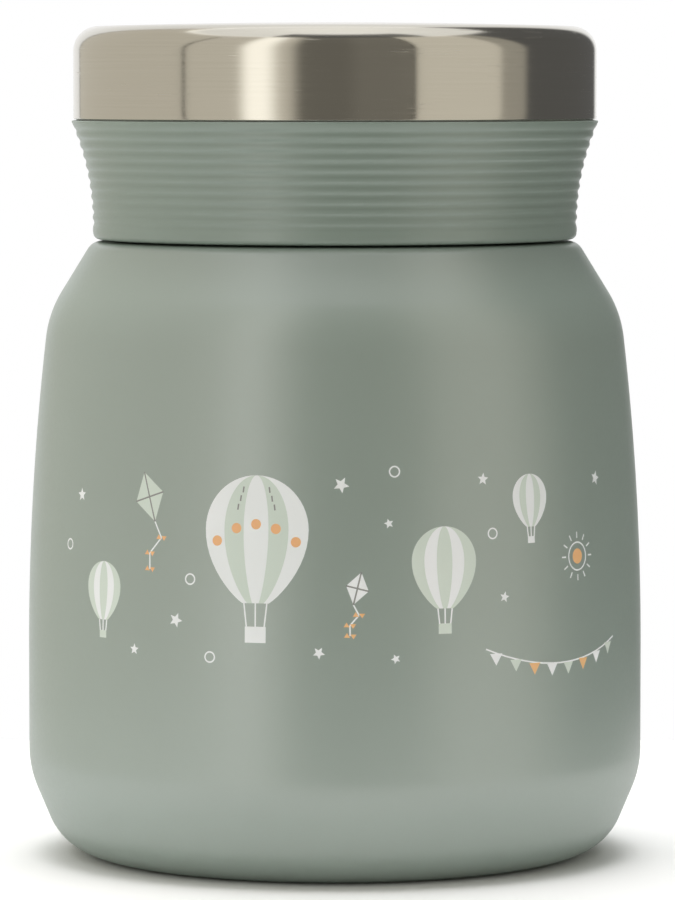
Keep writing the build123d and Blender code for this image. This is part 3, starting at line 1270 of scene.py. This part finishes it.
    def bunting(self, start: Point, length: float, sag: float, flags: int) -> None:
        """Lay a hanging string of pointed flags.

        Args:
            start: Its left end.
            length: Distance between its ends.
            sag: Drop of its middle.
            flags: Number of flags.
        """
        flag = (1.3, 1.25)
        flag_drop = 0.7
        points = []
        for step in range(flags * 2 + 1):
            share = step / (flags * 2)
            points.append((start[0] + share * length, start[1] - 4 * sag * share * (1 - share)))
        self.path(Ink.WHITE, *points)
        inks = (Ink.WHITE, Ink.MINT, Ink.PEACH)
        for number, (across, up) in enumerate(points[1::2]):
            self.disc(inks[number % 3], (across, up - flag_drop), flag, 1, 3, 180)

    def lay_out(self) -> None:
        """Place the motifs of one side."""
        self.balloon((-12.5, 56.5), 8.4, Ink.WHITE, Ink.MINT)
        self.trim((-12.5, 56.5), 8.4)
        self.balloon((17.5, 51.5), 5.4, Ink.MINT, Ink.WHITE)
        self.balloon((33.5, 61.0), 3.5, Ink.WHITE, Ink.MINT)
        self.balloon((-41.0, 46.5), 3.9, Ink.MINT, Ink.WHITE)
        self.kite((-31.5, 61.0), 4.0, 18, Ink.MINT)
        self.kite((3.5, 47.5), 2.6, -14, Ink.WHITE)
        self.sun((44.0, 51.0), 2.2)
        self.bunting((24.5, 37.5), 30.0, 3.0, 8)
        for at, radius, turn in (
            ((1.0, 63.5), 1.3, 8),
            ((24.5, 64.0), 1.0, 30),
            ((8.5, 57.5), 0.8, 50),
            ((-26.0, 42.0), 1.2, 14),
            ((-47.5, 60.5), 1.1, 40),
            ((28.0, 45.5), 0.9, 24),
            ((-2.5, 37.5), 1.0, 4),
            ((9.5, 36.5), 0.8, 60),
            ((-34.0, 37.0), 0.9, 33),
            ((50.0, 63.0), 1.2, 20),
        ):
            self.star(Ink.WHITE, at, radius, turn)
        for at in ((-23.5, 48.5), (9.5, 65.5), (26.0, 55.5), (-20.0, 36.5), (-50.5, 52.5)):
            self.hoop(Ink.WHITE, at, 0.8)

    def roll(self, sheet: Mesh) -> None:
        """Cut a sheet along the shell's facets, give it thickness and roll it round the barrel.

        Args:
            sheet: The flat sheet of one ink.
        """
        facet = tau * self.jar.belly_r / TURN_STEPS
        for axis, step in ((0, facet), (1, self.row)):
            reaches = [vert.co[axis] for vert in sheet.verts]
            normal = (1 - axis, axis, 0)
            for cut in range(int(min(reaches) // step), int(max(reaches) // step) + 1):
                plane = Vector(normal) * cut * step
                bmesh.ops.bisect_plane(sheet, geom=whole(sheet), plane_co=plane, plane_no=normal)
        bmesh.ops.recalc_face_normals(sheet, faces=sheet.faces[:])
        down = [face for face in sheet.faces if face.normal.z < 0]
        bmesh.ops.reverse_faces(sheet, faces=down)
        bmesh.ops.solidify(sheet, geom=sheet.faces[:], thickness=self.film)
        for vert in sheet.verts:
            reach = self.jar.radius_at(vert.co.y) + vert.co.z
            angle = vert.co.x / self.jar.belly_r
            vert.co = (reach * sin(angle), -reach * cos(angle), vert.co.y)
        behind = verts_of(bmesh.ops.duplicate(sheet, geom=whole(sheet))["geom"])
        swing(sheet, behind, pi)

    def build(self) -> None:
        """Draw the motifs, roll them round the jar and dress them in their inks."""
        self.lay_out()
        for ink, sheet in self.sheets.items():
            self.roll(sheet)
            dress(sheet, f"print_{ink.name.lower()}", self.finishes.inks[ink], Body.JAR, Slot.COAT)


# ------------------------------------------------------------------ lid


@dataclass
class ScrewLid:
    """Steel cap over a ribbed silicone collar, on a moulded frame with a plug and a gasket.

    Lengths are in millimetres. The collar's cheek is a hollow arc, which the ribs follow and which
    the frame's seat repeats at the depth of the sleeve's wall.
    """

    finishes: Finishes
    cap_corner: float = 4.0
    cap_crown: float = 0.58
    cap_wall: float = 0.5
    cap_edge: float = 0.2
    collar_r: float = 39.32
    foot_z: float = 100.15
    flare_low: float = 102.4
    flare_bend: float = 42.5
    sleeve_wall: float = 1.6
    foot_round: float = 1.0
    foot_rise: float = 0.01
    rim_round: float = 0.2
    rim_height: float = 0.6
    grooves: int = 10
    groove_pitch: float = 1.66
    groove_low: float = 102.87
    groove_depth: float = 0.17
    rib_proud: float = 0.05
    rib_share: float = 0.55
    first_groove: float = 0.7
    rib_steps: int = 8
    bore_r: float = 35.3
    bore_lead_in: float = 0.6
    deck_z: float = 116.75
    deck_thick: float = 1.5
    spigot_wall: float = 1.4
    spigot_top: float = 127.0
    channel: tuple[Point, ...] = ((39.2, 0.0), (37.9, 4.6), (37.1, 4.6), (36.9, 0.0))
    frame_edge: float = 0.15
    plug_r: float = 31.5
    plug_wall: float = 1.4
    plug_floor: float = 106.5
    plug_corner: float = 1.5
    plug_edge: float = 0.12
    dish_r: float = 24.0
    dish_rise: float = 0.5
    catch: float = 0.35
    catch_play: float = 0.05
    gasket_r: float = 35.0
    gasket_thick: float = 0.85
    bead_r: float = 33.1
    bead_drop: float = 0.25
    lug_height: float = 0.9
    seam_z: float = field(init=False)
    cheek: Point = field(init=False)

    def __post_init__(self) -> None:
        """Take the height of the seam from the frame, and find the centre of the collar's cheek."""
        self.seam_z = node_span("lid_grip_sleeve")[2]
        self.cheek = (self.collar_r + self.flare_bend, self.flare_low)

    def make_cap(self) -> None:
        """Spin the steel cap: a small rolled edge, the side, the rounded shoulder and the dome."""
        cap_r, low_z, top_z = node_span("lid_steel_cap")
        corner_r = cap_r - self.cap_corner
        dome_r = (corner_r**2 + self.cap_crown**2) / (2 * self.cap_crown)
        dome_z = top_z - dome_r
        corner_z = dome_z + sqrt((dome_r - self.cap_corner) ** 2 - corner_r**2)
        lean = Vector((corner_r, corner_z - dome_z)).normalized() * dome_r
        edge_r, edge_z = cap_r - self.cap_edge, low_z + self.cap_edge
        section = Profile(edge_r, low_z)
        section.arc((edge_r, edge_z), (cap_r, edge_z), 4)
        section.line(cap_r, corner_z, 6)
        section.arc((corner_r, corner_z), (lean.x, dome_z + lean.y), 16)
        section.arc((0, dome_z), (0, top_z), 16)
        cap = section.turn(wall=self.cap_wall)
        dress(cap, "steel_cap", self.finishes.cap, Body.LID, Slot.CAP, "lid_steel_cap")

    def flare(self, height: float, inset: float = 0.0) -> Point:
        """Point of the collar's hollow cheek at a height.

        Args:
            height: The height.
            inset: Depth under the cheek's surface, or above it if below 0.

        Returns:
            Radius and height of the point.
        """
        rise = max(0.0, height - self.flare_low)
        bend = self.flare_bend + inset
        return self.collar_r + self.flare_bend - sqrt(bend**2 - rise**2), height

    def draw_ribs(self, section: Profile) -> None:
        """Draw the shallow round grooves up the collar, with round ribs between them.

        Args:
            section: The sleeve's section, drawn up to the top of its foot.
        """
        relief = self.rib_proud + self.groove_depth
        turn_proud = self.rib_proud - self.rib_share * relief
        half_groove = self.groove_pitch * (1 - self.rib_share) / 2
        for groove in range(self.grooves):
            middle = self.groove_low + groove * self.groove_pitch
            low = self.flare(middle - half_groove, -turn_proud)
            high = self.flare(middle + half_groove, -turn_proud)
            fullness = 1.0 if groove else self.first_groove
            section.bow(low, self.rib_share * relief * fullness, self.rib_steps)
            section.bow(high, -(1 - self.rib_share) * relief, self.rib_steps)
        section.line(*self.flare(section.tip.co.z + half_groove))

    def make_sleeve(self) -> None:
        """Spin the silicone sleeve with its grooves."""
        inner_r = self.collar_r - self.sleeve_wall
        foot_top = self.foot_z + self.foot_round + self.foot_rise
        section = Profile(inner_r, self.foot_z).fillets(
            [Corner(self.collar_r, self.foot_z, self.foot_round, 8)], (self.collar_r, foot_top)
        )
        self.draw_ribs(section)
        section.arc(self.cheek, self.flare(self.seam_z - self.rim_height), 4)
        rim = Corner(*self.flare(self.seam_z), self.rim_round, 4)
        section.fillets([rim], self.flare(self.seam_z, self.sleeve_wall))
        section.arc(self.cheek, self.flare(self.flare_low, self.sleeve_wall), 12)
        section.line(inner_r, self.foot_z)
        dress(section.turn(), "grip_sleeve", self.finishes.grip, Body.LID, Slot.GRIP, "lid_grip_sleeve")

    def make_frame(self) -> None:
        """Spin the moulded frame that carries the sleeve, the cap and the plug, and its lugs."""
        deck_top = self.deck_z + self.deck_thick
        seat_r = self.collar_r - self.sleeve_wall
        spigot_r = node_span("lid_body")[0]
        section = Profile(0, self.deck_z).line(self.bore_r, self.deck_z, 8).lines(
            (self.bore_r, self.foot_z + self.bore_lead_in),
            (self.bore_r + self.bore_lead_in, self.foot_z),
            (seat_r, self.foot_z),
            (seat_r, self.flare_low),
        )
        section.arc(self.cheek, self.flare(self.seam_z, self.sleeve_wall), 12)
        section.lines(
            (spigot_r, self.seam_z),
            (spigot_r, self.spigot_top),
            (spigot_r - self.spigot_wall, self.spigot_top),
            (spigot_r - self.spigot_wall, deck_top),
            *((radius, deck_top - depth) for radius, depth in self.channel),
            (0, deck_top),
        )
        moulding = section.turn(softened=self.frame_edge)
        dress(moulding, "lid_frame", self.finishes.plastic, Body.LID, Slot.PLASTIC, "lid_body")
        crest_r = self.bore_r - self.lug_height
        lugs = Lugs(self.bore_r, crest_r, span=110.0, low_z=102.35, start_turn=20.0, fade=3.0)
        dress(lugs.build(), "lid_lugs", self.finishes.plastic, Body.LID, Slot.PLASTIC)

    def make_plug(self) -> None:
        """Spin the plug that reaches into the mouth, with the catch that holds the gasket."""
        inner_r, inner_z = self.plug_r - self.plug_wall, self.plug_floor + self.plug_wall
        dish_z = self.plug_floor + self.dish_rise
        catch_top = self.deck_z - self.gasket_thick - self.catch_play
        section = Profile(0, dish_z)
        section.line(self.dish_r - 2 * self.dish_rise, dish_z, 6).line(self.dish_r, self.plug_floor)
        corner = Corner(self.plug_r, self.plug_floor, self.plug_corner, 6)
        section.fillets([corner], (self.plug_r, catch_top - 3 * self.catch))
        section.lines(
            (self.plug_r + self.catch, catch_top - 2 * self.catch),
            (self.plug_r + self.catch, catch_top),
            (self.plug_r, catch_top),
            (self.plug_r, self.deck_z),
            (inner_r, self.deck_z),
            (inner_r, inner_z),
            (0, inner_z),
        )
        plug = section.turn(softened=self.plug_edge)
        dress(plug, "plug_cup", self.finishes.plastic, Body.LID, Slot.PLASTIC, "lid_plug")

    def make_gasket(self) -> None:
        """Spin the sealing ring with its round bead."""
        low = self.deck_z - self.gasket_thick
        bead_start = (self.bead_r + 2 * self.bead_drop, low)
        section = Profile(*bead_start).lines(
            (self.gasket_r, low),
            (self.gasket_r, self.deck_z),
            (self.plug_r, self.deck_z),
            (self.plug_r, low),
            (self.bead_r - 2 * self.bead_drop, low),
        )
        section.bow(bead_start, self.bead_drop, 8)
        dress(section.turn(), "seal_ring", self.finishes.seal, Body.LID, Slot.SEAL, "lid_gasket")

    def build(self) -> None:
        """Make every piece of the lid."""
        self.make_cap()
        self.make_sleeve()
        self.make_frame()
        self.make_plug()
        self.make_gasket()


# ------------------------------------------------------------------ hidden pieces


def dress_hidden(finishes: Finishes) -> None:
    """Give the CAD nodes that stay as they are their finishes.

    Args:
        finishes: The finishes.
    """
    wanted = {
        "vacuum_seal": finishes.glass,
        "getter_pellet": finishes.getter,
        "getter_clip": finishes.base,
        "insulation_foil": finishes.foil,
        "plug_foam": finishes.foam,
        "cap_foam": finishes.foam,
    }
    for name, material in wanted.items():
        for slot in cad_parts[name].material_slots:
            slot.material = material
        log.info("%s keeps its CAD mesh", name)


# ------------------------------------------------------------------ studio


class Panel(Enum):
    """What a card of light is: white silk, a lit wall, or silk that hangs overhead."""

    SILK = "silk"
    WALL = "wall"
    OVERHEAD = "overhead"


@dataclass(frozen=True)
class Card:
    """A panel of light round the object, by the directions that it fills, in degrees.

    Azimuths run from the camera's own side, growing to its right, and may pass 180.
    """

    name: str
    bright: float
    left: float
    right: float
    low: float = -90.0
    high: float = 56.0
    left_edge: float = 1.0
    right_edge: float = 1.0
    rise: float = 6.0
    panel: Panel = Panel.SILK


@dataclass
class Studio:
    """Plain floor, a ring of light cards and the camera.

    Polished steel would mirror the silk overhead as plain white, so glossy rays see no more of it
    than a limit. Glossy rays also see the floor at a share of its tone, which is painted shade: it
    darkens the floor's reflection on the jar's foot.
    """

    floor_size: float = 0.3
    floor_tone: float = 0.95
    # painted shade: share of the floor's tone that glossy rays see, darkening its reflection on the jar's
    # foot
    floor_reflection_dimmed_to: float = 0.78
    overhead_limit: float = 1.05
    silk: Colour = (1.0, 1.0, 1.0, 1.0)
    wall: Colour = (1.0, 0.955, 0.85, 1.0)
    cards: tuple[Card, ...] = (
        Card("back", 1.0, 163, 208, left_edge=8.0),
        Card("left_wall", 0.68, -151, -70, panel=Panel.WALL),
        Card("left_near", 0.70, -68.5, -17.5, right_edge=8.0, panel=Panel.WALL),
        Card("strip", 0.88, -40.5, -26.5, left_edge=8.0, right_edge=10.0),
        Card("camera_dark", 0.18, -17.5, 8.0, left_edge=8.0, right_edge=10.0, panel=Panel.WALL),
        Card("camera_grey", 0.22, 8.0, 34.0, left_edge=10.0, panel=Panel.WALL),
        Card("right_near", 0.77, 35.5, 77.5, right_edge=4.0, panel=Panel.WALL),
        Card("right_gap", 0.42, 77.5, 92, left_edge=4.0, right_edge=4.0, panel=Panel.WALL),
        Card("right_dark", 0.12, 92, 163, right_edge=8.0),
        Card("high_back", 3.5, 120, 240, 56, 74, panel=Panel.OVERHEAD),
        Card("high_left", 1.8, -120, -40, 56, 74, panel=Panel.OVERHEAD),
        Card("high_front", 0.1, -40, 60, 56, 74, panel=Panel.OVERHEAD),
        Card("high_right", 1.5, 60, 120, 56, 74, panel=Panel.OVERHEAD),
        Card("ceiling", 7.0, -181, 181, 74, 130, panel=Panel.OVERHEAD),
    )
    camera_distance: float = 900 * MM
    camera_height: float = 126 * MM
    aim_height: float = 65.64 * MM
    picture_height: float = 900.0
    pixels_per_slope: float = 5524.0
    axis_offset: float = 2.6
    sensor: float = 36.0

    def card_mask(self, wiring: Wiring, card: Card, azimuth: Socket, elevation: Socket) -> Socket:
        """Soft-edged window of a card.

        Args:
            wiring: The world's wiring.
            card: The card.
            azimuth: Azimuth of the direction looked in.
            elevation: Its elevation.

        Returns:
            1 inside the card, 0 outside it.
        """
        middle, half = (card.left + card.right) / 2, (card.right - card.left) / 2
        aside = wiring.math("WRAP", wiring.math("SUBTRACT", azimuth, middle), 180.0, -180.0)
        sides = (
            wiring.spread(aside, -half - card.left_edge / 2, -half + card.left_edge / 2),
            wiring.spread(aside, half - card.right_edge / 2, half + card.right_edge / 2, 1.0, 0.0),
            wiring.spread(elevation, card.low - card.rise / 2, card.low + card.rise / 2),
            wiring.spread(elevation, card.high - card.rise / 2, card.high + card.rise / 2, 1.0, 0.0),
        )
        return reduce(lambda mask, side: wiring.math("MULTIPLY", mask, side), sides)

    def make_world(self) -> None:
        """Paint the ring of cards as the world's light, behind a plain white background."""
        world = bpy.data.worlds.new("studio")
        bpy.context.scene.world = world
        world.use_nodes = True
        wiring = Wiring(world.node_tree)
        ray = wiring.add("ShaderNodeTexCoord").outputs["Generated"]
        x, y, z = wiring.add("ShaderNodeSeparateXYZ", {"Vector": ray}).outputs
        back = wiring.math("MULTIPLY", y, -1.0)
        azimuth = wiring.math("DEGREES", wiring.math("ARCTAN2", x, back))
        elevation = wiring.math("DEGREES", wiring.math("ARCSINE", z))
        bright: dict[Panel, object] = dict.fromkeys(Panel, 0.0)
        for card in self.cards:
            log.info("light card %s: %s", card.name, card.panel.value)
            mask = self.card_mask(wiring, card, azimuth, elevation)
            bright[card.panel] = wiring.math("MULTIPLY_ADD", mask, card.bright, bright[card.panel])
        ray_is = wiring.add("ShaderNodeLightPath").outputs
        over = bright[Panel.OVERHEAD]
        excess = wiring.math("MAXIMUM", wiring.math("SUBTRACT", over, self.overhead_limit), 0.0)
        held_back = wiring.math("MULTIPLY", excess, ray_is["Is Glossy Ray"])
        white = wiring.math("ADD", bright[Panel.SILK], wiring.math("SUBTRACT", over, held_back))
        silk = wiring.add("ShaderNodeBackground", {"Color": self.silk, "Strength": white})
        wall = wiring.add("ShaderNodeBackground", {"Color": self.wall, "Strength": bright[Panel.WALL]})
        light = wiring.add("ShaderNodeAddShader", {0: silk.outputs[0], 1: wall.outputs[0]})
        plain = wiring.add("ShaderNodeBackground", {"Color": self.silk, "Strength": 1.0})
        seen = ray_is["Is Camera Ray"]
        mixed = wiring.add("ShaderNodeMixShader", {0: seen, 1: light.outputs[0], 2: plain.outputs[0]})
        wiring.add("ShaderNodeOutputWorld", {"Surface": mixed.outputs[0]})

    def make_floor(self) -> None:
        """Lay the plain pale floor, with painted shade in its reflections: glossy rays see it darker."""
        mesh = bmesh.new()
        bmesh.ops.create_grid(mesh, x_segments=1, y_segments=1, size=self.floor_size / 2 / MM)
        floor = make_object(mesh, "floor")
        # painted shade: glossy rays see a darker floor tone, so the jar's foot reflects a darker floor
        tone, dimmed_reflected_tone = self.floor_tone, self.floor_tone * self.floor_reflection_dimmed_to
        material, wiring, shader = start_material("floor_white")
        glossy = wiring.add("ShaderNodeLightPath").outputs["Is Glossy Ray"]
        colour = wiring.blend(glossy, (tone, tone, tone, 1.0), (dimmed_reflected_tone, dimmed_reflected_tone, dimmed_reflected_tone, 1.0))
        wiring.feed(shader.inputs["Base Color"], colour)
        shader.inputs["Roughness"].default_value = 0.9
        shader.inputs["Specular IOR Level"].default_value = 0.0
        floor.data.materials.append(material)

    def make_camera(self) -> None:
        """Set the camera up in front of the jar, a little under the height of its lid."""
        data = bpy.data.cameras.new("camera")
        data.sensor_width = self.sensor
        data.lens = self.pixels_per_slope / self.picture_height * self.sensor
        data.shift_x = self.axis_offset / self.picture_height
        camera = bpy.data.objects.new("camera", data)
        camera.location = (0, -self.camera_distance, self.camera_height)
        drop = atan2(self.camera_height - self.aim_height, self.camera_distance)
        camera.rotation_euler = (pi / 2 - drop, 0, 0)
        bpy.context.scene.collection.objects.link(camera)
        bpy.context.scene.camera = camera

    def build(self) -> None:
        """Make the studio and choose plain colour output."""
        self.make_world()
        self.make_floor()
        self.make_camera()
        bpy.context.scene.view_settings.view_transform = "Standard"


def main() -> None:
    """Build the jar, the lid, the print and the studio."""
    logging.basicConfig(level=logging.INFO, format="%(name)s: %(message)s")
    groups = Groups(grain_group(), brush_group())
    finishes = make_finishes(groups, coat_edge=100.5)
    dress_hidden(finishes)
    jar = JarBody(finishes)
    jar.build()
    PrintedBand(jar, finishes).build()
    ScrewLid(finishes).build()
    Studio().build()


if __name__ == "__main__":
    main()
